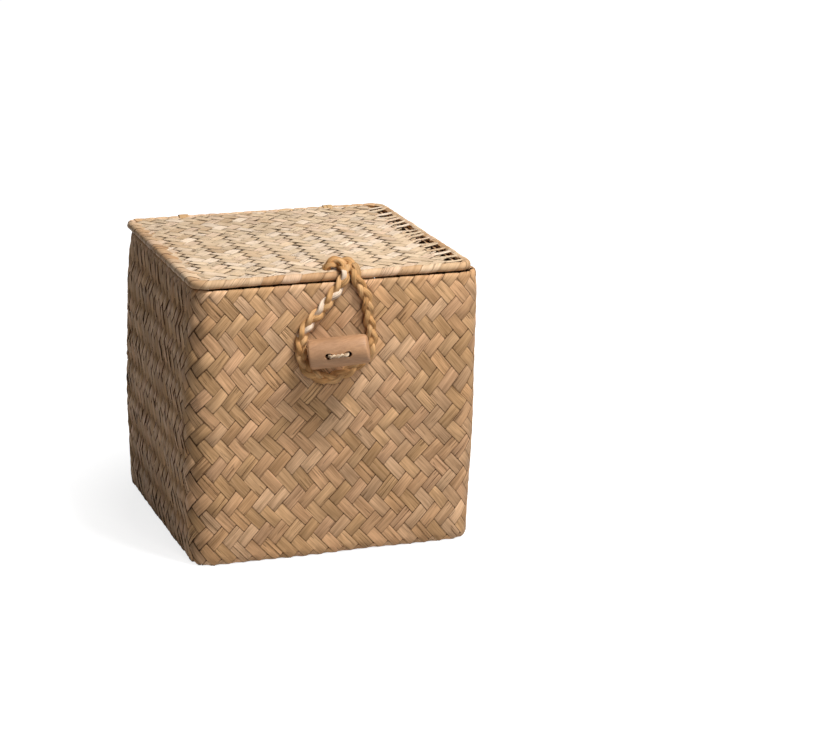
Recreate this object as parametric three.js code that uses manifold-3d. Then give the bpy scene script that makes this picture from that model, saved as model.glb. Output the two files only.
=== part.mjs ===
// Square storage box woven from flat palm strips, with a hinged lid, a braided loop and a wooden toggle.
// Millimetres, +Z up, origin on the floor under the middle of the base, front towards -Y.
import * as THREE from 'three';
import { mergeVertices } from 'three/addons/utils/BufferGeometryUtils.js';
import Module from 'manifold-3d';

const wasm = await Module();
wasm.setup();

// Woven body: outside sizes, and how far its soft walls stand in or out of them
const bodyWidth = 205;
const bodyDepth = 206;
const bodyHeight = 195.8;
const wallThickness = 2;
const baseThickness = 2.4;
const bodyCornerRadius = 16;
const baseEdgeRadius = 4;
const baseInset = 1;
const wallBulge = 1.9;
const rimInset = 1.2;
const rimInsetStart = 0.9;
const rimLean = 4.5;

// Strip ends folded over the top of the wall
const foldThickness = 0.8;
const foldOuterHeight = 4.5;
const foldInnerHeight = 6.5;

// Lid: woven panel in a rolled edge, which is wound round a cane core
const lidSetIn = 2;
const lidCornerRadius = 11;
const lidOffsetX = 0.5;
const lidGap = 1.4;
const coreDiameter = 3;
const coreSlack = 0.4;
const rollSkin = 0.9;
const panelThickness = 1.8;
const panelRise = 0.7;

// Two flat strips that tie the back of the lid to the wall
const tieWidth = 7;
const tieThickness = 0.8;
const tieSpacing = 112;
const tieLean = THREE.MathUtils.degToRad(14);
const tieDrop = 8.5;
const slitSlack = 0.4;
const slitRelief = 0.2;

// Wooden toggle on the front wall; its right end hangs up and out, its left end down and in
const toggleDiameter = 20.5;
const toggleLength = 40.6;
const toggleEdgeRadius = 2;
const toggleX = -4.2;
const toggleZ = 153.1;
const toggleTilt = THREE.MathUtils.degToRad(7.6);
const toggleTurn = THREE.MathUtils.degToRad(19);
const toggleWallGap = 1.8;
const toggleHoleSpacing = 13.6;
const toggleHoleSlack = 0.6;

// Cords
const toggleCordDiameter = 2.4;
const shankSpread = 2.9;
const shankHoleSlack = 0.55;
const shankBend = 2.2;
const stopKnotWidth = 12;
const stopKnotDepth = 6.2;
const stopKnotHeight = 10;
const braidDiameter = 5;
const braidHoleSlack = 0.5;
const braidHoleX = [-3, 8.5];
const braidHoleSetBack = [10.2, 7.4];
const braidStandUp = 0.6;
const lidKnotWidth = 22;
const lidKnotDepth = 11;
const lidKnotHeight = 8.6;

// Gap kept between pieces that touch
const touchGap = 0.3;

// Smoothness
const cornerSteps = 8;
const edgeSteps = 4;
const wallLevels = 11;
const rollSteps = 7;
const tieArcSteps = 10;
const toggleSides = 40;
const holeSides = 20;
const knotSides = 16;
const knotRings = 10;
const cordSides = 10;
const thinCordSides = 8;
const overLidSteps = 24;
const backInSteps = 12;
const loopSteps = 60;
const toggleCordSteps = 80;
const weldDistance = 1e-4;
const sliver = 0.02;

// Sizes and places that follow
const lidWidth = bodyWidth - 2 * lidSetIn;
const lidDepth = bodyDepth - 2 * lidSetIn;
const rollBore = coreDiameter / 2 + coreSlack;
const rollRadius = rollBore + rollSkin;
const shankHoleDiameter = shankSpread + toggleCordDiameter + 2 * shankHoleSlack;
const toggleHoleDiameter = toggleCordDiameter + 2 * toggleHoleSlack;
const rollZ = bodyHeight + lidGap + rollRadius;
const rollY = lidDepth / 2 - rollRadius;
const panelZ = rollZ + panelRise;
const panelInset = rollRadius + coreDiameter / 2 + touchGap;
const rimThickness = 2 * foldThickness + 2 * touchGap + wallThickness;
const throughWall = 2 * (wallThickness + wallBulge + baseInset + rimInset);
const throughPanel = 2 * (panelThickness + panelRise);

// How far the outside of the wall stands inside the nominal outline, at a height
function wallInset(z) {
  const t = THREE.MathUtils.clamp(z / bodyHeight, 0, 1);
  const top = Math.max(0, (t - rimInsetStart) / (1 - rimInsetStart));
  return baseInset * (1 - t) ** 2 - wallBulge * Math.sin(Math.PI * t) + rimInset * top ** 2;
}

// How far the box leans to the right at a height
function leanX(z) {
  return rimLean * (z / bodyHeight) ** 2;
}

// Depth of the wall's outer face behind the middle of the box, at a height
function wallY(z) {
  return bodyDepth / 2 - wallInset(z);
}

// Stations round a rounded rectangle, each with its outward normal
function roundedRectangle(width, depth, radius) {
  const stations = [];
  const corners = [[1, 1], [-1, 1], [-1, -1], [1, -1]];
  corners.forEach(([sx, sy], k) => {
    for (let i = 0; i <= cornerSteps; i++) {
      const a = (Math.PI / 2) * (k + i / cornerSteps);
      const normal = new THREE.Vector2(Math.cos(a), Math.sin(a));
      const centre = new THREE.Vector2(sx * (width / 2 - radius), sy * (depth / 2 - radius));
      stations.push({ point: centre.addScaledVector(normal, radius), normal });
    }
  });
  return stations;
}

// Rings of points round an outline; each profile point is [inset, z] and may lean with its height
function ringsRound(stations, profile, lean = () => 0) {
  return profile.map(([inset, z]) => stations.map(({ point, normal }) => {
    const p = point.clone().addScaledVector(normal, -inset);
    return [p.x + lean(z), p.y, z];
  }));
}

// Joins rings in a row into a surface; capped, its first and last rings close on their middles
function skin(rings, capped) {
  const count = rings[0].length;
  const positions = rings.flat(2);
  const index = [];
  const last = capped ? rings.length - 1 : rings.length;
  for (let r = 0; r < last; r++) {
    const next = (r + 1) % rings.length;
    for (let i = 0; i < count; i++) {
      const j = (i + 1) % count;
      const [a, b, c, d] = [r * count + i, r * count + j, next * count + j, next * count + i];
      index.push(a, b, c, a, c, d);
    }
  }
  if (capped) {
    for (const [r, flip] of [[0, true], [rings.length - 1, false]]) {
      const middle = positions.length / 3;
      const mean = new THREE.Vector3();
      rings[r].forEach((p) => mean.add(new THREE.Vector3(...p)));
      positions.push(...mean.divideScalar(count).toArray());
      for (let i = 0; i < count; i++) {
        const [a, b] = [r * count + i, r * count + (i + 1) % count];
        index.push(...(flip ? [middle, b, a] : [middle, a, b]));
      }
    }
  }
  const geometry = new THREE.BufferGeometry();
  geometry.setAttribute('position', new THREE.Float32BufferAttribute(positions, 3));
  geometry.setIndex(index);
  return geometry;
}

// A closed three.js geometry as a solid that can be joined and cut
function solid(geometry) {
  const bare = geometry.clone();
  bare.deleteAttribute('normal');
  bare.deleteAttribute('uv');
  const merged = mergeVertices(bare, weldDistance);
  return new wasm.Manifold(new wasm.Mesh({
    numProp: 3,
    vertProperties: new Float32Array(merged.attributes.position.array),
    triVerts: new Uint32Array(merged.index.array),
  }));
}

// A solid back as a three.js geometry, without the slivers that a join or cut leaves
function geometryOf(manifold) {
  const { vertProperties, triVerts } = manifold.simplify(sliver).getMesh();
  const geometry = new THREE.BufferGeometry();
  geometry.setAttribute('position', new THREE.BufferAttribute(new Float32Array(vertProperties), 3));
  geometry.setIndex(new THREE.BufferAttribute(new Uint32Array(triVerts), 1));
  return geometry;
}

function boxAt(width, depth, height, x, y, z) {
  return new THREE.BoxGeometry(width, depth, height).translate(x, y, z);
}

function lump(width, depth, height, x, y, z) {
  return new THREE.SphereGeometry(0.5, knotSides, knotRings).scale(width, depth, height).translate(x, y, z);
}

// A round cord along a curve
function cord(curve, diameter, steps, sides) {
  const section = new THREE.Shape();
  for (let i = 0; i < sides; i++) {
    const a = (2 * Math.PI * i) / sides;
    const x = (diameter / 2) * Math.cos(a);
    const y = (diameter / 2) * Math.sin(a);
    if (i === 0) section.moveTo(x, y);
    else section.lineTo(x, y);
  }
  section.closePath();
  return new THREE.ExtrudeGeometry(section, { steps, extrudePath: curve, curveSegments: 1 });
}

// Straight runs with rounded bends
function bentPath(points, bend) {
  const path = new THREE.CurvePath();
  let from = points[0];
  for (let i = 1; i < points.length - 1; i++) {
    const into = points[i].clone().sub(points[i - 1]).normalize();
    const out = points[i + 1].clone().sub(points[i]).normalize();
    const reach = bend * Math.tan(into.angleTo(out) / 2);
    const start = points[i].clone().addScaledVector(into, -reach);
    const end = points[i].clone().addScaledVector(out, reach);
    path.add(new THREE.LineCurve3(from, start));
    path.add(new THREE.QuadraticBezierCurve3(start, points[i], end));
    from = end;
  }
  path.add(new THREE.LineCurve3(from, points[points.length - 1]));
  return path;
}

// Ready places for the pieces
const box = new THREE.Group();
const bodyOutline = roundedRectangle(bodyWidth, bodyDepth, bodyCornerRadius);
const lidOutline = roundedRectangle(lidWidth, lidDepth, lidCornerRadius);

function add(name, geometry, color, roughness, parent = box) {
  const material = new THREE.MeshStandardMaterial({ color, roughness, metalness: 0 });
  const mesh = new THREE.Mesh(geometry, material);
  mesh.name = name;
  parent.add(mesh);
  return mesh;
}

// Woven body: floor and four soft walls in one, open at the top
const wallTop = bodyHeight - foldThickness - touchGap;
const foldSeat = foldThickness + touchGap;
const shoulder = bodyHeight - foldOuterHeight - touchGap;

function bodyProfile() {
  const profile = [];
  for (let i = 0; i <= edgeSteps; i++) {
    const a = (Math.PI / 2) * (i / edgeSteps);
    const edge = baseEdgeRadius * (1 - Math.sin(a));
    profile.push([wallInset(0) + edge, baseEdgeRadius * (1 - Math.cos(a))]);
  }
  for (let i = 1; i <= wallLevels; i++) {
    const z = baseEdgeRadius + ((shoulder - baseEdgeRadius) * i) / wallLevels;
    profile.push([wallInset(z), z]);
  }
  profile.push([wallInset(shoulder) + foldSeat, shoulder]);
  profile.push([wallInset(wallTop) + foldSeat, wallTop]);
  profile.push([wallInset(wallTop) + foldSeat + wallThickness, wallTop]);
  const innerTop = bodyHeight - foldInnerHeight - touchGap;
  profile.push([wallInset(innerTop) + foldSeat + wallThickness, innerTop]);
  for (let i = wallLevels - 1; i >= 1; i--) {
    const z = baseThickness + ((innerTop - baseThickness) * i) / wallLevels;
    profile.push([wallInset(z) + wallThickness, z]);
  }
  profile.push([wallInset(baseThickness) + wallThickness + baseEdgeRadius / 2, baseThickness]);
  return profile;
}

const tieX = [-tieSpacing / 2, tieSpacing / 2];
const tieRadius = rollRadius + touchGap + tieThickness / 2;
const tieFootZ = bodyHeight - tieDrop;

// The toggle's inner end comes within its gap of the wall; its cord runs square to it, through the wall
const towardsWall = Math.sin(toggleTurn) * Math.cos(toggleTilt);
const toggleReach = (toggleLength / 2 - toggleEdgeRadius) * towardsWall
  + (toggleDiameter / 2 - toggleEdgeRadius) * Math.sqrt(1 - towardsWall ** 2) + toggleEdgeRadius;
const toggleStandOff = wallY(toggleZ) + toggleWallGap + toggleReach;
const shankX = toggleX + (toggleStandOff - bodyDepth / 2) * Math.tan(toggleTurn);

let body = solid(skin(ringsRound(bodyOutline, bodyProfile(), leanX), true));
const shankHoleRadius = shankHoleDiameter / 2;
const shankHole = new THREE.CylinderGeometry(shankHoleRadius, shankHoleRadius, throughWall, holeSides)
  .rotateZ(-toggleTurn);
body = body.subtract(solid(shankHole.translate(shankX, -bodyDepth / 2, toggleZ)));
for (const x of tieX) {
  const slit = boxAt(tieWidth + 2 * slitSlack, throughWall, tieThickness + 2 * slitSlack,
    x, bodyDepth / 2, tieFootZ);
  body = body.subtract(solid(slit));
}
add('woven_body', geometryOf(body), 0xc49a6c, 0.7);

// Rim: the ends of the strips folded over the wall and tucked down inside it
const foldFoot = bodyHeight - foldOuterHeight;
const foldTuck = bodyHeight - foldInnerHeight;
const foldSection = [
  [wallInset(foldFoot), foldFoot],
  [wallInset(bodyHeight), bodyHeight],
  [wallInset(bodyHeight) + rimThickness, bodyHeight],
  [wallInset(foldTuck) + rimThickness, foldTuck],
  [wallInset(foldTuck) + rimThickness - foldThickness, foldTuck],
  [wallInset(bodyHeight) + rimThickness - foldThickness, bodyHeight - foldThickness],
  [wallInset(bodyHeight) + foldThickness, bodyHeight - foldThickness],
  [wallInset(foldFoot) + foldThickness, foldFoot],
];
add('rim_fold', skin(ringsRound(bodyOutline, foldSection, leanX), false), 0xc9a57a, 0.65);

// Lid: everything here turns with it
const lid = new THREE.Group();
lid.position.x = lidOffsetX;
box.add(lid);

// Cane core of the rolled edge
const coreSection = [];
for (let i = 0; i < rollSteps; i++) {
  const a = (2 * Math.PI * i) / rollSteps;
  const x = (coreDiameter / 2) * Math.cos(a);
  coreSection.push([rollRadius - x, rollZ + (coreDiameter / 2) * Math.sin(a)]);
}
add('lid_edge_core', skin(ringsRound(lidOutline, coreSection), false), 0xb98f5c, 0.6, lid);

// Rolled edge: strips wound round the core, open on the inside where the panel runs in
const lipZ = panelRise + panelThickness / 2 + touchGap;
const lipUnder = panelRise - panelThickness / 2 - touchGap;
const upperLip = Math.PI - Math.asin(Math.min(1, lipZ / rollRadius));
const lowerLip = -Math.PI - Math.asin(lipUnder / rollRadius);
const upperBore = Math.PI - Math.asin(Math.min(1, lipZ / rollBore));
const lowerBore = -Math.PI - Math.asin(lipUnder / rollBore);
const rollSection = [];
for (let i = 0; i <= 2 * rollSteps; i++) {
  const a = THREE.MathUtils.lerp(lowerLip, upperLip, i / (2 * rollSteps));
  rollSection.push([rollRadius - rollRadius * Math.cos(a), rollZ + rollRadius * Math.sin(a)]);
}
for (let i = 0; i <= 2 * rollSteps; i++) {
  const a = THREE.MathUtils.lerp(upperBore, lowerBore, i / (2 * rollSteps));
  rollSection.push([rollRadius - rollBore * Math.cos(a), rollZ + rollBore * Math.sin(a)]);
}
add('lid_rolled_edge', skin(ringsRound(lidOutline, rollSection), false), 0xd8bd92, 0.6, lid);

// Woven panel with two holes for the braid and a slit for each tie
const [braidHoleA, braidHoleB] = braidHoleX.map((x, i) => new THREE.Vector2(x, braidHoleSetBack[i] - rollY));
const panelSection = [
  [panelInset, panelZ - panelThickness / 2],
  [panelInset, panelZ + panelThickness / 2],
];
let panel = solid(skin(ringsRound(lidOutline, panelSection), true));
for (const hole of [braidHoleA, braidHoleB]) {
  const radius = braidDiameter / 2 + braidHoleSlack;
  const bore = new THREE.CylinderGeometry(radius, radius, throughPanel, holeSides).rotateX(Math.PI / 2);
  panel = panel.subtract(solid(bore.translate(hole.x - lidOffsetX, hole.y, panelZ)));
}
const slitReach = tieRadius - tieThickness / 2 - slitRelief;
const slitOuter = rollY - Math.sqrt(slitReach ** 2 - (lipZ - touchGap) ** 2);
const slitInner = rollY - tieRadius - tieThickness / 2 - slitSlack;
for (const x of tieX) {
  const slit = boxAt(tieWidth + 2 * slitSlack, slitOuter - slitInner, throughPanel,
    x - lidOffsetX, (slitOuter + slitInner) / 2, panelZ);
  panel = panel.subtract(solid(slit));
}
add('lid_panel', geometryOf(panel), 0xe0c896, 0.7, lid);

// Ties: each a flat strip led round the rolled edge, down behind the wall and back in through it
function tieContour(Kind, radius, grow) {
  const contour = new Kind();
  const startZ = rollZ + radius * Math.sin(tieLean);
  const startY = rollY + radius * Math.cos(tieLean);
  const footZ = tieFootZ - grow;
  const footY = startY + (startZ - footZ) * Math.tan(tieLean);
  contour.moveTo(rollY - radius, footZ);
  contour.lineTo(footY, footZ);
  contour.lineTo(startY, startZ);
  contour.absarc(rollY, rollZ, radius, tieLean, Math.PI, false);
  contour.closePath();
  return contour;
}
const tieShape = tieContour(THREE.Shape, tieRadius + tieThickness / 2, tieThickness / 2);
tieShape.holes.push(tieContour(THREE.Path, tieRadius - tieThickness / 2, -tieThickness / 2));
['hinge_tie_left', 'hinge_tie_right'].forEach((name, i) => {
  const tie = new THREE.ExtrudeGeometry(tieShape,
    { depth: tieWidth, bevelEnabled: false, curveSegments: tieArcSteps });
  const turned = new THREE.Matrix4().makeBasis(
    new THREE.Vector3(0, 1, 0), new THREE.Vector3(0, 0, 1), new THREE.Vector3(1, 0, 0));
  tie.applyMatrix4(turned).translate(tieX[i] - tieWidth / 2, 0, 0);
  add(name, tie, 0xcaa873, 0.65);
});

// Toggle: a turned piece of wood with two cross holes, hung on its cord in front of the braid
const toggle = new THREE.Group();
toggle.position.set(toggleX, -toggleStandOff, toggleZ);
toggle.rotation.set(0, -toggleTilt, -toggleTurn, 'ZYX');
box.add(toggle);

function toggleBlank() {
  const profile = [new THREE.Vector2(0, -toggleLength / 2)];
  for (const end of [-1, 1]) {
    for (let i = 0; i <= edgeSteps; i++) {
      const a = (Math.PI / 2) * (end < 0 ? i / edgeSteps : 1 - i / edgeSteps);
      profile.push(new THREE.Vector2(
        toggleDiameter / 2 - toggleEdgeRadius * (1 - Math.sin(a)),
        end * (toggleLength / 2 - toggleEdgeRadius * (1 - Math.cos(a)))));
    }
  }
  profile.push(new THREE.Vector2(0, toggleLength / 2));
  return new THREE.LatheGeometry(profile, toggleSides).rotateZ(-Math.PI / 2);
}

let toggleWood = solid(toggleBlank());
for (const side of [-1, 1]) {
  const radius = toggleHoleDiameter / 2;
  const bore = new THREE.CylinderGeometry(radius, radius, 2 * toggleDiameter, holeSides);
  toggleWood = toggleWood.subtract(solid(bore.translate((side * toggleHoleSpacing) / 2, 0, 0)));
}
add('toggle', geometryOf(toggleWood), 0xbb8a68, 0.5, toggle);

// Its cord: from a stop knot inside the wall, out, through one hole, across the front and back again
const slant = Math.cos(toggleTurn);
const wallFront = (toggleStandOff - wallY(toggleZ)) / slant;
const knotReach = Math.hypot((stopKnotWidth / 2) * Math.sin(toggleTurn), (stopKnotDepth / 2) * slant);
const knotY = wallFront + (wallThickness + touchGap + knotReach) / slant;
const spreadY = wallFront - shankBend / 2;
const toggleBackY = toggleDiameter / 2 + touchGap;
const crossY = -(toggleDiameter / 2 + touchGap + toggleCordDiameter / 2);
const half = [
  new THREE.Vector3(-shankSpread / 2, knotY, 0),
  new THREE.Vector3(-shankSpread / 2, spreadY, 0),
  new THREE.Vector3(-toggleHoleSpacing / 2, toggleBackY, 0),
  new THREE.Vector3(-toggleHoleSpacing / 2, crossY, 0),
];
const otherHalf = half.map((p) => new THREE.Vector3(-p.x, p.y, p.z)).reverse();
const togglePath = bentPath([...half, ...otherHalf], shankBend);
const toggleCord = solid(cord(togglePath, toggleCordDiameter, toggleCordSteps, thinCordSides))
  .add(solid(lump(stopKnotWidth, stopKnotDepth, stopKnotHeight, 0, knotY, 0)));
add('toggle_cord', geometryOf(toggleCord), 0xd9c3a4, 0.8, toggle);

// Braided loop: the stretches on the lid, from their knot under it to the top of the rolled edge
const bendRadius = rollRadius + touchGap + braidDiameter / 2;
const crest = rollZ + bendRadius;
const panelTop = panelZ + panelThickness / 2;
const lidKnotZ = panelTop - panelThickness - touchGap - lidKnotHeight / 2;
const rightCrossX = 12.8;
const leftCrossX = 6.6;
const squareEnd = 2.6;
const overLid = [
  [braidHoleA.x, braidHoleA.y, lidKnotZ],
  [braidHoleA.x, braidHoleA.y, panelTop + braidStandUp],
  [-1.6, -88.4, 205.9],
  [2.4, -89.2, 208.2],
  [7, -90.4, 208.9],
  [10.8, -92.4, 207.8],
  [rightCrossX, -rollY + squareEnd, crest],
  [rightCrossX, -rollY, crest],
];
const backIn = [
  [leftCrossX, -rollY, crest],
  [leftCrossX, -rollY + squareEnd, crest],
  [braidHoleB.x, braidHoleB.y, panelTop + braidStandUp],
  [braidHoleB.x, braidHoleB.y, lidKnotZ],
];
function cordThrough(points, steps) {
  const curve = new THREE.CatmullRomCurve3(points.map((p) => new THREE.Vector3(...p)), false, 'centripetal');
  return cord(curve, braidDiameter, steps, cordSides);
}
const knotX = (braidHoleA.x + braidHoleB.x) / 2;
const knotDepthY = (braidHoleA.y + braidHoleB.y) / 2;
const loopAnchor = solid(cordThrough(overLid, overLidSteps))
  .add(solid(cordThrough(backIn, backInSteps)))
  .add(solid(lump(lidKnotWidth, lidKnotDepth, lidKnotHeight, knotX, knotDepthY, lidKnotZ)));
add('loop_anchor', geometryOf(loopAnchor), 0xc79a5f, 0.8);

// Braided loop: the free stretch, over the rolled edge, down the wall, behind the toggle and up again
const loopRoute = [
  [rightCrossX, -rollY - touchGap, crest],
  [rightCrossX, -rollY - squareEnd, crest],
  [13.2, -103.6, 202.3],
  [14, -104.9, 198],
  [17.6, -106, 191],
  [20.4, -106.6, 184.5],
  [21.4, -106.8, 177],
  [22.2, -106.9, 169],
  [23.8, -107, 160],
  [24, -107.1, 152.5],
  [21.6, -107.3, 146],
  [15.6, -107.4, 140.4],
  [8, -107.4, 135.2],
  [0, -107.5, 131.6],
  [-7.5, -107.5, 130.2],
  [-15, -107.5, 132.6],
  [-21.8, -107.4, 137.5],
  [-25.6, -107.3, 145],
  [-26.8, -107.2, 154],
  [-25.2, -107.1, 163],
  [-19.6, -107, 172],
  [-12, -106.9, 179],
  [-5.6, -106.6, 186.5],
  [0, -106, 193],
  [3.8, -105.3, 198.6],
  [5.8, -103.8, 202.4],
  [leftCrossX, -rollY - squareEnd, crest],
  [leftCrossX, -rollY - touchGap, crest],
];
add('closing_loop', cordThrough(loopRoute, loopSteps), 0xc79a5f, 0.8);

export default box;
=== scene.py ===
import random
from math import ceil, cos, floor, hypot, pi, radians, sin, sqrt, tan

import bmesh
import bpy
from mathutils import Euler, Matrix, Vector, noise
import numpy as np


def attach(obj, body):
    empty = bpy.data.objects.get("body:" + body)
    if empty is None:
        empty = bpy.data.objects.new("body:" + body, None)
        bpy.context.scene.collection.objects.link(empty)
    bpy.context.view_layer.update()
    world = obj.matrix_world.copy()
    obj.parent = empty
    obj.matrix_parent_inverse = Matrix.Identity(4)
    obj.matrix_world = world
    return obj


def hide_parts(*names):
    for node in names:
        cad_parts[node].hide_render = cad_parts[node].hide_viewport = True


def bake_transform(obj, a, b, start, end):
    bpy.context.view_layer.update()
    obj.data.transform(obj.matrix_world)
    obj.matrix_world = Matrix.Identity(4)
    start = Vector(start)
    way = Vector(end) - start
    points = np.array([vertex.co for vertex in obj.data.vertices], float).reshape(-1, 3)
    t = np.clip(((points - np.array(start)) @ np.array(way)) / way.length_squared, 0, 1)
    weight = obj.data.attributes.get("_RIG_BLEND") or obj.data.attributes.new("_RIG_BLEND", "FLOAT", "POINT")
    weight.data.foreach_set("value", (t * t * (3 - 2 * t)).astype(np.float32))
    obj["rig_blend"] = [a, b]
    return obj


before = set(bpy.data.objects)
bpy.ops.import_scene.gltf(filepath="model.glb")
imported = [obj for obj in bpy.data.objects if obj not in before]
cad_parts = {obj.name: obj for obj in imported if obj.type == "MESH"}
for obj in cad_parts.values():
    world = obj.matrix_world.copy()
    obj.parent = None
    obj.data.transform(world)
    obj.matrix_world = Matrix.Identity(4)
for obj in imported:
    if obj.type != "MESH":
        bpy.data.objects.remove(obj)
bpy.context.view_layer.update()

MM = 0.001

# Camera
# It looks slightly down on the front and the left side, from a little above the lid.
CAMERA_PLACE = Vector((-0.4932, -1.6634, 0.6127))
CAMERA_YAW = radians(19.402)
CAMERA_PITCH = radians(16.234)
CAMERA_ROLL = radians(0.551)
CAMERA_LENS = 107.98

scene = bpy.context.scene
camera_data = bpy.data.cameras.new("camera")
camera_data.lens = CAMERA_LENS
camera_data.sensor_width = 36
camera_data.dof.use_dof = False
camera = bpy.data.objects.new("camera", camera_data)
scene.collection.objects.link(camera)
turn = Euler((pi / 2 - CAMERA_PITCH, 0, -CAMERA_YAW)).to_matrix() @ Matrix.Rotation(CAMERA_ROLL, 3, "Z")
camera.matrix_world = Matrix.Translation(CAMERA_PLACE) @ turn.to_4x4()
scene.camera = camera

# Closing loop
# A flat plait of three strands of leaf fibre. It comes up through one hole in the lid, crosses itself in a
# hump, hangs down over the front edge, passes behind the toggle and goes back in by a second hole.
ROLL_Y = 98.2
ROLL_Z = 200.0
CREST = 205.6
PANEL_Z = 200.7
HOLE_A = (-3, -88)
HOLE_B = (8.5, -90.8)
LOOP_ROUTE = [
    (*HOLE_A, PANEL_Z), (*HOLE_A, 201.9), (-1.6, -88.6, 205.1), (2.4, -89.4, 207.3), (7, -90.6, 208.1),
    (10.8, -92.5, 207.3), (12.8, 2.6 - ROLL_Y, CREST), (12.8, -ROLL_Y, CREST), (12.8, -ROLL_Y - 2.6, CREST),
    (13.2, -103.6, 202.3), (14, -104.9, 198), (17.6, -106, 191), (20.4, -106.6, 184.5), (21.4, -106.8, 177),
    (22.2, -106.9, 169), (23.8, -107, 160), (24, -107.1, 152.5), (21.6, -107.3, 146), (15.6, -107.4, 140.4),
    (8, -107.4, 135.2), (0, -107.5, 131.6), (-7.5, -107.5, 130.2), (-15, -107.5, 132.6),
    (-21.8, -107.4, 137.5), (-25.6, -107.3, 145), (-26.8, -107.2, 154), (-25.2, -107.1, 163),
    (-19.6, -107, 172), (-12, -106.9, 179), (-5.6, -106.6, 186.5), (0, -106, 193), (3.8, -105.3, 198.6),
    (5.8, -103.8, 202.4),
    (6.6, -ROLL_Y - 2.6, CREST), (6.6, -ROLL_Y, CREST), (6.6, 2.6 - ROLL_Y, CREST), (*HOLE_B, 202.2),
    (*HOLE_B, PANEL_Z),
]
PLAIT_REPEAT = 30 * MM
PLAIT_STEP = 0.8 * MM
STRAND_SIDES = 16
STRAND_SWAY = 1.85 * MM
STRAND_RISE = 1.3 * MM
STRAND_WIDE = 2.3 * MM
STRAND_THICK = 1.65 * MM
STRAND_TURN = 0.5
STRAND_RIDGES = 4
STRAND_RIDGE = 0.07
STRAND_UNEVEN = 0.12
PALE_STRAND = 1
PALE_STRETCH = (0.70, 0.93)
SEAM_GAP = 0.005 * MM


def srgb(*levels):
    """A colour written as it looks on a screen, from 0 to 255, as the linear values that Blender mixes."""
    return tuple(c / 255 / 12.92 if c <= 10 else ((c / 255 + 0.055) / 1.055) ** 2.4 for c in levels)


def even_line(dense, step):
    """Points a step apart along a closely pointed line."""
    line, left = [dense[0]], step
    for a, b in zip(dense, dense[1:]):
        gone, long = 0.0, (b - a).length
        while long - gone >= left:
            gone += left
            left = step
            line.append(a.lerp(b, gone / long))
        left -= long - gone
    return line


def smooth_route(points, step):
    """A smooth line through points in millimetres, as evenly spaced points in metres."""
    pieces = 24
    knots = [Vector(p) * MM for p in points]
    knots = [2 * knots[0] - knots[1]] + knots + [2 * knots[-1] - knots[-2]]
    dense = []
    for a, b, c, d in zip(knots, knots[1:], knots[2:], knots[3:]):
        t1 = (b - a).length ** 0.5
        t2 = t1 + (c - b).length ** 0.5
        t3 = t2 + (d - c).length ** 0.5
        for k in range(pieces):
            t = t1 + (t2 - t1) * k / pieces
            ab, bc, cd = a.lerp(b, t / t1), b.lerp(c, (t - t1) / (t2 - t1)), c.lerp(d, (t - t2) / (t3 - t2))
            abc, bcd = ab.lerp(bc, t / t2), bc.lerp(cd, (t - t1) / (t3 - t1))
            dense.append(abc.lerp(bcd, (t - t1) / (t2 - t1)))
    dense.append(knots[-2])
    return even_line(dense, step)


def frames_along(line, start, facing):
    """The ways ahead, sideways and facing at each point, without twist, from a start of known facing."""
    end = len(line) - 1
    tangents = [(line[min(i + 1, end)] - line[max(i - 1, 0)]).normalized() for i in range(len(line))]
    faces = [None] * len(line)
    faces[start] = (facing - tangents[start] * facing.dot(tangents[start])).normalized()
    for order in (range(start + 1, len(line)), range(start - 1, -1, -1)):
        last = start
        for i in order:
            faces[i] = (tangents[last].rotation_difference(tangents[i]) @ faces[last]).normalized()
            last = i
    return [(t, t.cross(f), f) for t, f in zip(tangents, faces)]


def lay_grid(mesh, rows, columns, place, paint):
    """Adds a grid of rows by columns faces, and puts each corner (u, v), from 0 to 1, where place says.
    paint gives its colour, its distances along and across its strip, and how near an edge it is."""
    tint = mesh.verts.layers.float_color["tint"]
    rim = mesh.verts.layers.float["rim"]
    strip = mesh.loops.layers.uv["strip"]
    made = bmesh.ops.create_grid(mesh, x_segments=rows, y_segments=columns, size=1)["verts"]
    written = {}
    for vert in made:
        u, v = (vert.co.x + 1) / 2, (vert.co.y + 1) / 2
        vert.co = place(u, v)
        colour, along, across, edge = paint(u, v)
        vert[tint] = (*colour, 1)
        vert[rim] = edge
        written[vert] = (along, across)
    for face in {f for vert in made for f in vert.link_faces}:
        for loop in face.loops:
            loop[strip].uv = written[loop.vert]


def new_fabric():
    """An empty mesh with the attributes that strips and strands carry."""
    mesh = bmesh.new()
    mesh.verts.layers.float_color.new("tint")
    mesh.verts.layers.float.new("rim")
    mesh.loops.layers.uv.new("strip")
    return mesh


def close_tubes(mesh):
    """Joins the long seams of tubes laid as grids, and closes their ends."""
    bmesh.ops.remove_doubles(mesh, verts=mesh.verts, dist=SEAM_GAP)
    bmesh.ops.holes_fill(mesh, edges=[e for e in mesh.edges if e.is_boundary])
    bmesh.ops.recalc_face_normals(mesh, faces=mesh.faces)


def as_object(mesh, name):
    """Turns a bmesh into an object of the scene."""
    data = bpy.data.meshes.new(name)
    mesh.to_mesh(data)
    mesh.free()
    made = bpy.data.objects.new(name, data)
    scene.collection.objects.link(made)
    return made


def finished(mesh, name, material, thickness=None):
    """A smooth piece from a bmesh. With a thickness it gets a wall inwards and crisp cut edges."""
    for edge in mesh.edges:
        if thickness and edge.is_boundary:
            edge.smooth = False
    piece = as_object(mesh, name)
    piece.data.polygons.foreach_set("use_smooth", [True] * len(piece.data.polygons))
    piece.data.materials.append(material)
    if thickness:
        wall = piece.modifiers.new("thickness", "SOLIDIFY")
        wall.thickness = thickness
        wall.offset = -1
    return piece


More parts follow.
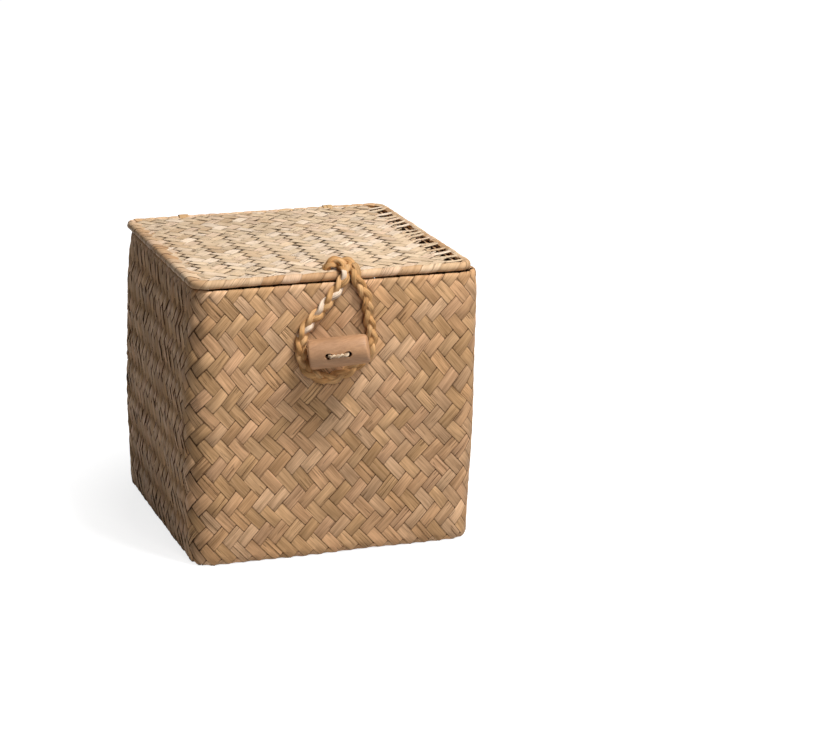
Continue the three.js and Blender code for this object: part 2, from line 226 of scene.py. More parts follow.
def feed(tree, fed, inputs):
    """Gives a node its inputs: another node's output is joined, and anything else is set as a value."""
    for key, value in inputs.items():
        if isinstance(value, bpy.types.NodeSocket):
            tree.links.new(value, fed.inputs[key])
        else:
            fed.inputs[key].default_value = value


def node(tree, kind, inputs=None, **settings):
    """A shader node with its settings made and its inputs fed."""
    made = tree.nodes.new(kind)
    for key, value in settings.items():
        setattr(made, key, value)
    feed(tree, made, inputs or {})
    return made


def maths(tree, operation, first, second):
    return node(tree, "ShaderNodeMath", {0: first, 1: second}, operation=operation).outputs[0]


def stretched(tree, place, factors):
    return node(tree, "ShaderNodeVectorMath", {0: place, 1: factors}, operation="MULTIPLY").outputs[0]


def grain(tree, place, detail, roughness=0.5, scale=1, **settings):
    """Noise from 0 to 1, read at a place."""
    inputs = {"Vector": place, "Scale": scale, "Detail": detail, "Roughness": roughness}
    return node(tree, "ShaderNodeTexNoise", inputs, **settings).outputs[0]


def ranged(tree, value, taken=(0, 1), given=(0, 1), **settings):
    """A value brought from the range that is taken to the one that is given."""
    inputs = dict(zip(("Value", "From Min", "From Max", "To Min", "To Max"), (value, *taken, *given)))
    return node(tree, "ShaderNodeMapRange", inputs, **settings).outputs[0]


def mixed(tree, share, first, second, **settings):
    """Two colours mixed, each written without its alpha or joined."""
    first, second = ((*c, 1) if isinstance(c, tuple) else c for c in (first, second))
    inputs = {0: share, 6: first, 7: second}
    return node(tree, "ShaderNodeMix", inputs, data_type="RGBA", **settings).outputs[2]


def bumped(tree, height, distance, strength=1.0):
    """The normal of a surface with a fine relief."""
    inputs = {"Height": height, "Distance": distance, "Strength": strength}
    return node(tree, "ShaderNodeBump", inputs).outputs[0]


def new_material(name):
    """A material with its shader and output, and the node tree to add to."""
    material = bpy.data.materials.new(name)
    material.use_nodes = True
    tree = material.node_tree
    tree.nodes.clear()
    shader = node(tree, "ShaderNodeBsdfPrincipled")
    node(tree, "ShaderNodeOutputMaterial", {"Surface": shader.outputs[0]})
    return material, tree, shader


EDGE_START = 0.93
LEAF_SHADOW = srgb(78, 52, 28)
LEAF_GLOSS = 0.16
LEAF_RELIEF_SHARE = 0.7
SPLIT_DEPTH = 1.6


def fibre_group():
    """Dry leaf: long fine fibres, broader streaks and a few splits along a strip, from its own map."""
    group = bpy.data.node_groups.new("leaf fibre", "ShaderNodeTree")
    for name in ("Fineness", "Splits"):
        group.interface.new_socket(name, in_out="INPUT", socket_type="NodeSocketFloat")
    for name in ("Streak", "Split", "Height"):
        group.interface.new_socket(name, in_out="OUTPUT", socket_type="NodeSocketFloat")
    given = node(group, "NodeGroupInput")
    strip = node(group, "ShaderNodeUVMap", uv_map="strip").outputs[0]
    place = node(group, "ShaderNodeVectorMath", {0: strip, "Scale": given.outputs["Fineness"]},
                 operation="SCALE").outputs[0]

    def fibres(along, across, detail, low, high):
        """A mask of noise drawn out along the strip, from none at its low value to full at its high one."""
        drawn = grain(group, stretched(group, place, (along, across, 1)), detail, 0.6, noise_dimensions="2D")
        return ranged(group, drawn, (low, high), interpolation_type="SMOOTHSTEP")

    fine = fibres(30, 1250, 3, 0.25, 0.75)
    broad = fibres(36, 330, 2, 0.3, 0.7)
    streak = maths(group, "MULTIPLY", maths(group, "ADD", fine, broad), 0.5)
    crack = fibres(26, 1100, 1, 0.60, 0.68)
    where = fibres(45, 60, 1, 0.52, 0.60)
    split = maths(group, "MULTIPLY", maths(group, "MULTIPLY", crack, where), given.outputs["Splits"])
    height = maths(group, "SUBTRACT", streak, maths(group, "MULTIPLY", split, SPLIT_DEPTH))
    node(group, "NodeGroupOutput", {"Streak": streak, "Split": split, "Height": height})
    return group


leaf_fibre = fibre_group()


def leaf_material(name, streak_dark, streak_light, edge_shade=0.0, splits=0.6, fineness=1.0,
                  roughness=0.58, relief=0.2 * MM):
    """Dry leaf strips: each strip's own colour, streaked along its length, with painted shade at its edges.
    """
    material, tree, shader = new_material(name)
    inputs = {"Fineness": fineness, "Splits": splits}
    fibre = node(tree, "ShaderNodeGroup", inputs, node_tree=leaf_fibre).outputs
    tint = node(tree, "ShaderNodeAttribute", attribute_name="tint").outputs["Color"]
    rim = node(tree, "ShaderNodeAttribute", attribute_name="rim").outputs["Fac"]
    streaked = mixed(tree, fibre["Streak"], streak_dark, streak_light)
    coloured = mixed(tree, 1, tint, streaked, blend_type="MULTIPLY")
    # Painted shade along the strips' edges, mixed with the dark of the leaf's splits.
    dark = maths(tree, "MAXIMUM", ranged(tree, rim, (EDGE_START, 1), (0, edge_shade)), fibre["Split"])
    feed(tree, shader, {
        "Base Color": mixed(tree, dark, coloured, LEAF_SHADOW),
        "Roughness": ranged(tree, fibre["Streak"], given=(roughness + 0.1, roughness - 0.06)),
        "Specular IOR Level": LEAF_GLOSS,
        "Normal": bumped(tree, fibre["Height"], relief, LEAF_RELIEF_SHARE)})
    return material


plait_fibre = leaf_material("plait fibre", (0.70, 0.66, 0.60), (1.12, 1.1, 1.08), splits=0.5, fineness=1.3,
                            roughness=0.6, relief=0.25 * MM)
PLAIT_COLOURS = [srgb(206, 160, 108), srgb(198, 150, 98), srgb(214, 170, 120)]
PLAIT_PALE = srgb(230, 208, 186)

loop_line = smooth_route(LOOP_ROUTE, PLAIT_STEP)
lowest = min(range(len(loop_line)), key=lambda i: loop_line[i].z)
loop_frames = frames_along(loop_line, lowest, Vector((0, -1, 0)))
loop_length = PLAIT_STEP * (len(loop_line) - 1)


def noise_at(x, y, z):
    """Smooth noise from about -1 to 1."""
    return noise.noise(Vector((x, y, z)))


def strand_place(strand):
    """Where the points of one strand of the plait lie: it swings from side to side and over and under."""
    def place(u, v):
        at = u * (len(loop_line) - 1)
        i = min(int(at), len(loop_line) - 2)
        centre = loop_line[i].lerp(loop_line[i + 1], at - i)
        _, side, face = loop_frames[i]
        swing = 2 * pi * (at * PLAIT_STEP / PLAIT_REPEAT + strand / 3)
        sway = STRAND_SWAY * sin(swing)
        rise = STRAND_RISE * sin(2 * swing)
        turned = STRAND_TURN * cos(swing)
        around = 2 * pi * v
        ridge = 1 + STRAND_RIDGE * cos(STRAND_RIDGES * around + 1.3 * strand)
        ridge += STRAND_UNEVEN * noise_at(at * 0.05, 3 * strand, 2 * cos(around))
        wide, thick = STRAND_WIDE * ridge * cos(around), STRAND_THICK * ridge * sin(around)
        wide, thick = (wide * cos(turned) - thick * sin(turned),
                       wide * sin(turned) + thick * cos(turned))
        return centre + side * (sway + wide) + face * (rise + thick)
    return place


def strand_paint(strand):
    """Each strand's colour, with one pale strand on the upper part of the loop."""
    def paint(u, v):
        pale = strand == PALE_STRAND and PALE_STRETCH[0] < u < PALE_STRETCH[1]
        lighter = 0.95 + 0.25 * noise_at(u * 60, strand * 7, 0)
        colour = PLAIT_PALE if pale else tuple(c * lighter for c in PLAIT_COLOURS[strand])
        return colour, u * loop_length + strand, v * 2 * pi * STRAND_WIDE, 0.0
    return paint


plait = new_fabric()
for strand in range(3):
    lay_grid(plait, len(loop_line) - 1, STRAND_SIDES, strand_place(strand), strand_paint(strand))
close_tubes(plait)
closing_loop = finished(plait, "plaited_loop", plait_fibre)
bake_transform(closing_loop, "lid", "loop", start=(0, -0.0965, 0.2), end=(0, -0.1045, 0.2))
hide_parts("closing_loop", "loop_anchor")

# Knot of the loop
# Under the lid the plait's two ends are tied together, so that neither can pull back through its hole.
KNOT_PLACE = Vector((2.75, -89.4, 195.2)) * MM
KNOT_HALF = Vector((11, 5.5, 4.3)) * MM
KNOT_CORD = 2.1 * MM
KNOT_STEPS = 180
KNOT_SIDES = 16
KNOT_LONG = 0.12
KNOT_RIDGE = 0.13
TREFOIL_WIDE = 2.74
TREFOIL_DEEP = 3
STUB_LEAN = 0.4


def trefoil(centre, half, cord):
    """A knot of three lobes that fills a box of half sizes, as a function of how far along it is."""
    reach = Vector((half.x - cord, half.y - cord, half.z - cord))

    def point(t):
        turn = 2 * pi * t
        x = (sin(turn) + 2 * sin(2 * turn)) / TREFOIL_WIDE
        y = (cos(turn) - 2 * cos(2 * turn)) / TREFOIL_DEEP
        return centre + Vector((x * reach.x, y * reach.y, -sin(3 * turn) * reach.z))
    return point


def tube_round(point, radius, ridges, twist):
    """Places for the skin of a twisted cord along a path given by point."""
    def place(u, v):
        here = point(u)
        along = (point(u + 0.001) - here).normalized()
        side = along.cross(Vector((0.0, 0.0, 1.0))).normalized()
        up = side.cross(along)
        around = 2 * pi * v
        size = radius * (1 + KNOT_RIDGE * cos(ridges * around + 2 * pi * twist * u))
        return here + side * size * cos(around) + up * size * sin(around)
    return place


def stub(hole):
    """The short way of the plait from a hole in the lid down to its knot."""
    start = Vector((*hole, PANEL_Z)) * MM
    end = Vector((hole[0] * MM, (hole[1] + STUB_LEAN) * MM, KNOT_PLACE.z))
    return lambda t: start.lerp(end, t)


def knot_paint(u, v):
    lighter = 0.9 + 0.2 * noise_at(u * 12, v * 3, 4)
    return tuple(c * lighter for c in PLAIT_COLOURS[1]), u * KNOT_LONG, v * 2 * pi * KNOT_CORD, 0.0


knot = new_fabric()
lay_grid(knot, KNOT_STEPS, KNOT_SIDES,
         tube_round(trefoil(KNOT_PLACE, KNOT_HALF, KNOT_CORD), KNOT_CORD, 3, 16), knot_paint)
for hole in (HOLE_A, HOLE_B):
    lay_grid(knot, 10, KNOT_SIDES, tube_round(stub(hole), KNOT_CORD, 3, 1), knot_paint)
close_tubes(knot)
lid_knot = finished(knot, "knot_under_lid", plait_fibre)
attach(lid_knot, "lid")
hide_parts("loop_anchor")
tuple(loop_line[0])
[tuple(p) for p in loop_line]

# Woven walls
# Flat strips of dry palm leaf, plaited over two and under two at a slant, so that they run round all four
# sides. The rising strips come first, then the falling ones that cross them.
BODY_WIDTH = 205 * MM
BODY_DEPTH = 206 * MM
BODY_HEIGHT = 195.8 * MM
CORNER_RADIUS = 16 * MM
BASE_EDGE = 4 * MM
BASE_INSET = 1 * MM
WALL_BULGE = 1.9 * MM
RIM_INSET = 1.2 * MM
RIM_INSET_START = 0.9
RIM_LEAN = 4.5 * MM
STRIPS_ROUND = 72
STRIP_SLANT = radians(48.6)
STRIP_THICKNESS = 0.45 * MM
ROW_HEIGHT = 196.3 * MM
WALL_FACE = 0.15 * MM
STRIP_FOOT = -8 * MM
WEAVE_DRIFT = 3.2 * MM
DRIFT_SCALE = 17
DRIFT_SEED = 5
DRIFT_SPAN = (8 * MM, 184 * MM)
DRIFT_EASE = 25 * MM
WALL_RIPPLE = 0.7 * MM
RIPPLE_SCALE = 20
GROUND_GAP = 0.1 * MM
LOOSE_RELIEF = 3.0
LOOSE_LIFT = 0.5 * MM
LOOSE_GAP = 0.06
LOOSE_WAIST = 0.2
RISING_END = 0.9
FALLING_HEAD = 191.5 * MM
TUCK_START = 190.5 * MM
TUCK_RUN = 4 * MM
TUCK_DEPTH = 1.1 * MM
STRIP_LIGHT = (0.9, 1.08)
STRIP_STRAY = 0.02
SPLIT_REACH = 0.35
SPLIT_HALF = 0.05
SPLIT_STEP = 0.12 * MM
CUT_EDGES = 8
SEED_STEP = 1.7
WALL_CLOTH = dict(
    swing=0.34 * MM, crown=0.03 * MM, tilt=0.2 * MM, wave=0.12 * MM, dip=0.085, across=4, split_share=0.06,
    widths=(0.476, 0.502), unevenness=0.03, waist=0.11, shade=0.32, painted_dive_shade=0.5,
    colours=[srgb(198, 156, 117), srgb(201, 159, 122), srgb(188, 149, 108), srgb(193, 151, 110),
             srgb(208, 169, 132), srgb(184, 145, 104), srgb(200, 160, 119), srgb(192, 154, 118)])
BODY_OUTLINE = (BODY_WIDTH, BODY_DEPTH, CORNER_RADIUS)
noise.seed_set(DRIFT_SEED)


def outline_length(width, depth, radius):
    return 2 * (width + depth) - 8 * radius + 2 * pi * radius


strip_pitch = outline_length(*BODY_OUTLINE) / STRIPS_ROUND
strip_climb = strip_pitch * tan(STRIP_SLANT)
strip_unit = hypot(strip_pitch, strip_climb) / 2


def round_outline(s, width, depth, radius):
    """The point and outward normal at a distance round a rounded rectangle, from the middle of its front."""
    arc = radius * pi / 2
    half, deep, wide = width / 2 - radius, depth - 2 * radius, width - 2 * radius
    sides = (half, deep, wide, deep, half)
    s %= outline_length(width, depth, radius)
    point, heading = Vector((0, -depth / 2, 0)), 0.0
    for side in sides:
        ahead = Vector((cos(heading), sin(heading), 0))
        out = Vector((ahead.y, -ahead.x, 0))
        if s <= side:
            break
        s -= side
        centre = point + ahead * side - out * radius
        if s <= arc:
            turned = heading + s / radius
            out = Vector((sin(turned), -cos(turned), 0))
            return centre + out * radius, out
        s -= arc
        heading += pi / 2
        point = centre + Vector((sin(heading), -cos(heading), 0)) * radius
    return point + ahead * s, out


def wall_inset(z):
    """How far the wall stands inside its nominal outline: drawn in at the foot, bulging, in at the rim."""
    t = min(max(z / BODY_HEIGHT, 0), 1)
    top = max(0, (t - RIM_INSET_START) / (1 - RIM_INSET_START))
    return BASE_INSET * (1 - t) ** 2 - WALL_BULGE * sin(pi * t) + RIM_INSET * top ** 2


def wall_point(s, height, out):
    """A point of the wall at a distance round it and a height up it, which below 0 runs on under the base.
    Between the foot and the rim the weave drifts a little from its even rows."""
    near = round_outline(s, *BODY_OUTLINE)[0]
    drift = noise.noise_vector(Vector((near.x, near.y, height)) * DRIFT_SCALE)
    free = min(1, max(0, min(height - DRIFT_SPAN[0], DRIFT_SPAN[1] - height) / DRIFT_EASE))
    s += WEAVE_DRIFT * free * drift.x
    height += WEAVE_DRIFT * free * drift.y
    point, normal = round_outline(s, *BODY_OUTLINE)
    inset, z, facing = wall_inset(height), height, normal
    if height < BASE_EDGE:
        bent = (BASE_EDGE - height) / BASE_EDGE
        under = max(0, bent - pi / 2) * BASE_EDGE
        bent = min(bent, pi / 2)
        inset = wall_inset(0) + BASE_EDGE * (1 - cos(bent)) + under
        z = BASE_EDGE * (1 - sin(bent))
        facing = normal * cos(bent) - Vector((0, 0, sin(bent)))
    lean = RIM_LEAN * (z / BODY_HEIGHT) ** 2
    ripple = WALL_RIPPLE * noise.noise(Vector((point.x, point.y, z)) * RIPPLE_SCALE)
    place = point - normal * inset + Vector((lean, 0, z)) + facing * (out + ripple)
    place.z = max(place.z, GROUND_GAP)
    return place


def looseness(s):
    """0 on the tight walls and 1 on the loosely woven left one, eased round its corners."""
    leftward = -round_outline(s, *BODY_OUTLINE)[1].x
    return max(0, leftward) ** 2


def strip_height(over, dip):
    """How high a strip lies along it, from -1 under to 1 over, where over(n) says which at crossing n."""
    def height(x):
        n = floor(x + 0.5)
        part = x - n
        here = 1 if over(n) else -1
        beside = 1 if over(n + (1 if part > 0 else -1)) else -1
        if here == beside:
            return here
        near = min(1, (0.5 - abs(part)) / dip)
        return here * sin(near * pi / 2)
    return height


def along_crossing(dip, steps=1):
    """The stops within one crossing: its border, then the foot of each dip with steps between them."""
    rise = [-0.5 + dip * k / steps for k in range(steps + 1)]
    return rise + [-x for x in reversed(rise[1:])]


def crossing_stops(first, last, parts):
    """Where along a strip its corners lie: close together where it dips under the next strip."""
    stops = [n + part for n in range(floor(first), ceil(last) + 1) for part in parts]
    return [first] + [x for x in stops if first < x < last] + [last]


def lay_strip(mesh, chance, stops, over, surface, cloth, unit, seed):
    """One strip with corners at the stops. surface(along, across, out) is where a point of it lies, with
    along and across in crossings, and unit is the length of a crossing."""
    height = strip_height(over, cloth["dip"])
    colour = chance.choice(cloth["colours"])
    light = chance.uniform(*STRIP_LIGHT)
    half = chance.uniform(*cloth["widths"])
    stray = chance.uniform(-STRIP_STRAY, STRIP_STRAY)
    parts = [(-1, 1)]
    if chance.random() < cloth["split_share"]:
        split_at = chance.uniform(-SPLIT_REACH, SPLIT_REACH)
        parts = [(-1, split_at - SPLIT_HALF), (split_at + SPLIT_HALF, 1)]
    for number, (low, high) in enumerate(parts):

        def place(u, v):
            x = stops[round(u * (len(stops) - 1))]
            across = low + (high - low) * v
            wave = cloth["wave"] * noise_at(x * 0.9, seed, 5.0 * number)
            tilt = cloth["tilt"] * noise_at(x * 0.45, seed, 9)
            crown = cloth["crown"] * (1 - across * across)
            out = cloth["swing"] * height(x) + crown + tilt * across + wave - SPLIT_STEP * number
            wide = half * (1 + cloth["unevenness"] * noise_at(x * 0.6, seed, 31))
            wide *= 1 - cloth["waist"] * (1 - height(x) ** 2)
            return surface(x, across * wide + stray, out)

        def paint(u, v):
            x = stops[round(u * (len(stops) - 1))]
            across = low + (high - low) * v
            patch = light * (1 + cloth["shade"] * noise_at(x * 0.45, seed, across * 0.4))
            # Painted shade: the strip darkens where it dives under a crossing strip.
            patch *= 1 - cloth["painted_dive_shade"] * (1 - height(x) ** 2)
            # How near an edge: where the painted edge shade falls, at the strip's sides and at a split's cut
            # edges.
            edge = max(abs(across), 1 - abs(across - low) * CUT_EDGES, 1 - abs(high - across) * CUT_EDGES)
            return tuple(c * patch for c in colour), x * unit + seed * 0.37, across * unit / 2 + seed, edge

        lay_grid(mesh, len(stops) - 1, cloth["across"] - len(parts) + 1, place, paint)


def wall_strips(name, rising):
    """All the strips of the walls that run one way."""
    mesh = new_fabric()
    chance = random.Random(11 if rising else 12)
    foot = 2 * (STRIP_FOOT - ROW_HEIGHT) / strip_climb + 0.5
    head = 2 * (FALLING_HEAD - ROW_HEIGHT) / strip_climb + 0.5
    for number in range(STRIPS_ROUND):

        def surface(x, across, out):
            loose = looseness(strip_pitch * (x + number) / 2)
            dive = max(0, 1 - abs(out) / WALL_CLOTH["swing"])
            across *= 1 - loose * (LOOSE_GAP + LOOSE_WAIST * dive)
            rise, fall = (x, number + across) if rising else (number + across, x)
            height = ROW_HEIGHT + strip_climb * (rise - fall - 0.5) / 2
            tucked = min(1, max(0, (height - TUCK_START) / TUCK_RUN))
            out = (out - WALL_CLOTH["swing"]) * (1 + LOOSE_RELIEF * loose) + LOOSE_LIFT * loose
            out += WALL_FACE - TUCK_DEPTH * tucked
            return wall_point(strip_pitch * (rise + fall) / 2, height, out)

        def over(n):
            return (n - number) % 4 in (0, 1) if rising else (number - n) % 4 not in (0, 1)

        ends = (number + foot, number - RISING_END) if rising else (number - head, number - foot)
        stops = crossing_stops(*ends, along_crossing(WALL_CLOTH["dip"]))
        seed = number * SEED_STEP + (0 if rising else 200)
        lay_strip(mesh, chance, stops, over, surface, WALL_CLOTH, strip_unit, seed)
    if rising:
        bmesh.ops.reverse_faces(mesh, faces=mesh.faces)
    return finished(mesh, name, wall_leaf, STRIP_THICKNESS)


wall_leaf = leaf_material("wall leaf", (0.71, 0.67, 0.61), (1.22,) * 3, edge_shade=0.75, roughness=0.62)
for name, rising in (("wall_strips_rising", True), ("wall_strips_falling", False)):
    strips = wall_strips(name, rising)
    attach(strips, "basket")
    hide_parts("woven_body")

# Woven floor of the basket
# The same strips cross under the basket at 45 degrees to its sides, and turn up at its edges into the walls.
FLOOR_SIZE = (189 * MM, 190 * MM, 12 * MM)
FLOOR_STRIP = 11.95 * MM
FLOOR_LEVEL = 0.9 * MM
FLOOR_CLOTH = dict(WALL_CLOTH, swing=0.35 * MM, tilt=0.15 * MM, wave=0.1 * MM)


def in_outline(x, y, width, depth, radius):
    """Whether a point lies in a rounded rectangle about the origin."""
    past_x = max(0, abs(x) - width / 2 + radius)
    past_y = max(0, abs(y) - depth / 2 + radius)
    return hypot(past_x, past_y) <= radius


def flat_weave(mesh, chance, reach, pitch, within, over, surface, cloth, parts):
    """Strips at 45 degrees both ways, wherever within(x, y) holds. A crossing has the numbers of its two
    strips, one and other, and over(one, other) says whether the first lies on top there."""
    count = ceil(reach / pitch)
    tries = 8
    for way in (0, 1):
        before = len(mesh.faces)
        for number in range(-count, count + 1):

            def at(along, across):
                one, other = (number + across, along) if way == 0 else (along, number + across)
                return (one + other) * pitch / 2, (one - other) * pitch / 2

            def strip_surface(x, across, out):
                return surface(*at(x, across), out)

            def strip_over(n):
                return over(number, n) if way == 0 else not over(n, number)

            tried = [x / tries for x in range(-tries * count, tries * count + 1)]
            inside = [x for x in tried if within(*at(x, 0))]
            if len(inside) > tries:
                stops = crossing_stops(inside[0], inside[-1], parts)
                lay_strip(mesh, chance, stops, strip_over, strip_surface, cloth, pitch * sqrt(0.5),
                          number * SEED_STEP + 60 * way)
        if way == 1:
            mesh.faces.ensure_lookup_table()
            bmesh.ops.reverse_faces(mesh, faces=mesh.faces[before:])


floor_mesh = new_fabric()
flat_weave(floor_mesh, random.Random(21), FLOOR_SIZE[0] + FLOOR_SIZE[1], FLOOR_STRIP,
           lambda x, y: in_outline(x, y, *FLOOR_SIZE),
           lambda one, other: (one - other) % 4 in (0, 1),
           lambda x, y, out: Vector((x, y, max(FLOOR_LEVEL - out, GROUND_GAP))),
           FLOOR_CLOTH, along_crossing(FLOOR_CLOTH["dip"]))
bmesh.ops.reverse_faces(floor_mesh, faces=floor_mesh.faces)
floor_strips = finished(floor_mesh, "floor_strips", wall_leaf, STRIP_THICKNESS)
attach(floor_strips, "basket")
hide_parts("woven_body")

# Folded rim
# At the top each rising strip is bent over the rim and pushed down inside, with one edge standing a little
# over the next strip.
RIM_BEND = 1.75 * MM
RIM_FOOT = -1.1
RIM_UPPER = -0.1
RIM_TAIL = 1.9
RIM_STEPS = 9
RIM_CLOTH = dict(WALL_CLOTH, widths=(0.488, 0.503), waist=0, split_share=0, tilt=0, wave=0.1 * MM,
                 crown=0.12 * MM)
RIM_SLOPE = 0.3 * MM
BACK_RISE = 0.6 * MM
BACK_RISE_RUN = 5 * MM


def rim_point(s, height, out):
    """A point of a strip that runs up the wall, over its top and down the inside."""
    shoulder = BODY_HEIGHT - RIM_BEND
    normal = round_outline(s, *BODY_OUTLINE)[1]
    near_top = min(1, max(0, 1 + (height - shoulder) / BACK_RISE_RUN))
    rise = Vector((0, 0, BACK_RISE * max(0, normal.y) ** 2 * near_top))
    if height <= shoulder:
        return wall_point(s, height, out) + rise
    bent = (height - shoulder) / RIM_BEND
    if bent < pi:
        facing = normal * cos(bent) + Vector((0, 0, sin(bent)))
        return wall_point(s, shoulder, -RIM_BEND) + facing * (RIM_BEND + out) + rise
    return wall_point(s, shoulder - (bent - pi) * RIM_BEND, -2 * RIM_BEND - out) + rise


rim_mesh = new_fabric()
rim_chance = random.Random(31)
bend_start = 2 * (BODY_HEIGHT - RIM_BEND - ROW_HEIGHT) / strip_climb + 0.5
bend_end = bend_start + 2 * pi * RIM_BEND / strip_climb
dip = RIM_CLOTH["dip"]
rim_stops = [RIM_FOOT, -0.5 - dip, -0.5, -0.5 + dip, RIM_UPPER]
rim_stops += [bend_start + (bend_end - bend_start) * k / RIM_STEPS for k in range(RIM_STEPS + 1)] + [RIM_TAIL]
for number in range(STRIPS_ROUND):

    def rim_surface(x, across, out):
        rise, fall = x, number + across
        height = ROW_HEIGHT + strip_climb * (rise - fall - 0.5) / 2
        out += WALL_FACE - RIM_CLOTH["swing"] + RIM_SLOPE * (0.5 - across)
        return rim_point(strip_pitch * (rise + fall) / 2, height, out)

    lay_strip(rim_mesh, rim_chance, [number + x for x in rim_stops], lambda n: n >= number, rim_surface,
              RIM_CLOTH, strip_unit, number * SEED_STEP + 400)
bmesh.ops.reverse_faces(rim_mesh, faces=rim_mesh.faces)
rim_strips = finished(rim_mesh, "rim_strips", wall_leaf, STRIP_THICKNESS)
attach(rim_strips, "basket")
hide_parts("rim_fold")

# Woven lid
# Paler and narrower strips, looser than the walls'. Near the back and the front their zigzags run across
# the lid, and between these they run from back to front. Along the right side they stop short of the edge.
LID_X = 0.5 * MM
LID_WIDTH = 201 * MM
LID_DEPTH = 202 * MM
LID_CORNER = 11 * MM
LID_OUTLINE = (LID_WIDTH, LID_DEPTH, LID_CORNER)
LID_STRIP = 10.58 * MM
LID_EDGE = 2.6 * MM
LID_RIGHT_END = 84 * MM
LID_LEVEL = 201.3 * MM
LID_RIPPLE = 0.5 * MM
LID_TURN_BACK = 36 * MM
LID_TURN_FRONT = -75 * MM
LID_CLOTH = dict(
    swing=1.0 * MM, crown=0.08 * MM, tilt=0.5 * MM, wave=0.2 * MM, dip=0.26, across=5, split_share=0.04,
    widths=(0.49, 0.515), unevenness=0.05, waist=0.42, shade=0.14, painted_dive_shade=0.55,
    colours=[srgb(224, 199, 171), srgb(217, 190, 158), srgb(220, 192, 164), srgb(208, 178, 144),
             srgb(230, 208, 184), srgb(212, 186, 155), srgb(221, 196, 165)])


def lid_within(x, y):
    return x < LID_RIGHT_END and in_outline(x, y, LID_WIDTH - 2 * LID_EDGE, LID_DEPTH - 2 * LID_EDGE,
                                            LID_CORNER - LID_EDGE)


def lid_over(one, other):
    y = (one - other) * LID_STRIP / 2
    across_lid = y > LID_TURN_BACK or y < LID_TURN_FRONT
    return (one - other) % 4 in (0, 1) if across_lid else (one + other) % 4 in (0, 1)


def lid_surface(x, y, out):
    ripple = LID_RIPPLE * noise_at(x * 25, y * 25, 3)
    return Vector((x + LID_X, y, LID_LEVEL + ripple + out))


lid_leaf = leaf_material("lid leaf", (0.80, 0.77, 0.72), (1.08,) * 3, edge_shade=0.35, splits=0.8,
                         roughness=0.6)
lid_mesh = new_fabric()
flat_weave(lid_mesh, random.Random(41), LID_WIDTH + LID_DEPTH, LID_STRIP, lid_within, lid_over, lid_surface,
           LID_CLOTH, along_crossing(LID_CLOTH["dip"], 2))
lid_strips = finished(lid_mesh, "lid_strips", lid_leaf, STRIP_THICKNESS)
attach(lid_strips, "lid")
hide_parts("lid_panel")

# Strips that bridge the gap at the lid's right side
# There the strips' ends run on singly to the rolled edge, with open slits between them.
BRIDGES = 17
BRIDGE_SPAN = (79 * MM, 98 * MM)
BRIDGE_WIDTH = (1.5 * MM, 2.7 * MM)
BRIDGE_REACH = 92 * MM
BRIDGE_SLANT = (-0.15, 0.35)
BRIDGE_TAPER = 0.3
BRIDGE_LIFT = 0.1 * MM
BRIDGE_SAG = 0.5 * MM
BRIDGE_RISE = 0.9 * MM
BRIDGE_CROWN = 0.35 * MM
bridge_mesh = new_fabric()
bridge_chance = random.Random(51)
for number in range(BRIDGES):
    middle = BRIDGE_REACH * (2 * (number + 0.5) / BRIDGES - 1) + bridge_chance.uniform(-1, 1) * MM
    half = bridge_chance.uniform(*BRIDGE_WIDTH)
    slant = bridge_chance.uniform(*BRIDGE_SLANT)
    colour = bridge_chance.choice(LID_CLOTH["colours"])

    def bridge_place(u, v):
        x = BRIDGE_SPAN[0] + (BRIDGE_SPAN[1] - BRIDGE_SPAN[0]) * u
        across = 2 * v - 1
        y = middle + across * half * (1 + BRIDGE_TAPER * (0.5 - u)) + slant * (x - BRIDGE_SPAN[0])
        lift = BRIDGE_LIFT - BRIDGE_SAG * sin(pi * u) + BRIDGE_RISE * u
        return Vector((x + LID_X, y, LID_LEVEL + lift + BRIDGE_CROWN * (1 - across * across)))

    def bridge_paint(u, v):
        return colour, u * 0.014 + number, v * 0.006, abs(2 * v - 1)

    lay_grid(bridge_mesh, 8, 4, bridge_place, bridge_paint)
lid_bridges = finished(bridge_mesh, "lid_side_strips", lid_leaf, STRIP_THICKNESS)
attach(lid_bridges, "lid")
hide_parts("lid_panel")

# Rolled edge of the lid
# Strips wound on the slant round a cane, each lapping the next. They hold the ends of the lid's own strips.
ROLL_RADIUS = 2.8 * MM
WRAP_LAP = 1.5 * MM
WRAP_SLANT = 0.7
WRAP_UNDER = 6 * MM
WRAP_STEPS = 20
WRAP_ACROSS = 6
WRAP_REACH = {"front": 3.5, "right": 2, "back": 3, "left": 9}
WRAP_SPACING = {"front": (12, 17), "right": (9, 12), "back": (8, 11), "left": (11, 16)}
WRAP_DROPS = {1: 1.2 * MM, -1: 2.2 * MM}
WRAP_SINK = 0.35 * MM
WRAP_TILT = 0.5 * MM
WRAP_CROWN = 0.45 * MM
WRAP_UNEVEN = 0.2 * MM
WRAP_RAGGED = 0.8 * MM
WRAP_LAST = 6 * MM
ROLL_RIPPLE = 0.35 * MM
WRAP_COLOURS = [srgb(214, 180, 144), srgb(202, 164, 124), srgb(222, 192, 158), srgb(192, 152, 112),
                srgb(216, 182, 150), srgb(206, 172, 134)]
roll_quarter = ROLL_RADIUS * pi / 2


def lid_side(s):
    """The side of the lid at a distance round its outline."""
    normal = round_outline(s, *LID_OUTLINE)[1]
    if abs(normal.x) > abs(normal.y):
        return "right" if normal.x > 0 else "left"
    return "back" if normal.y > 0 else "front"


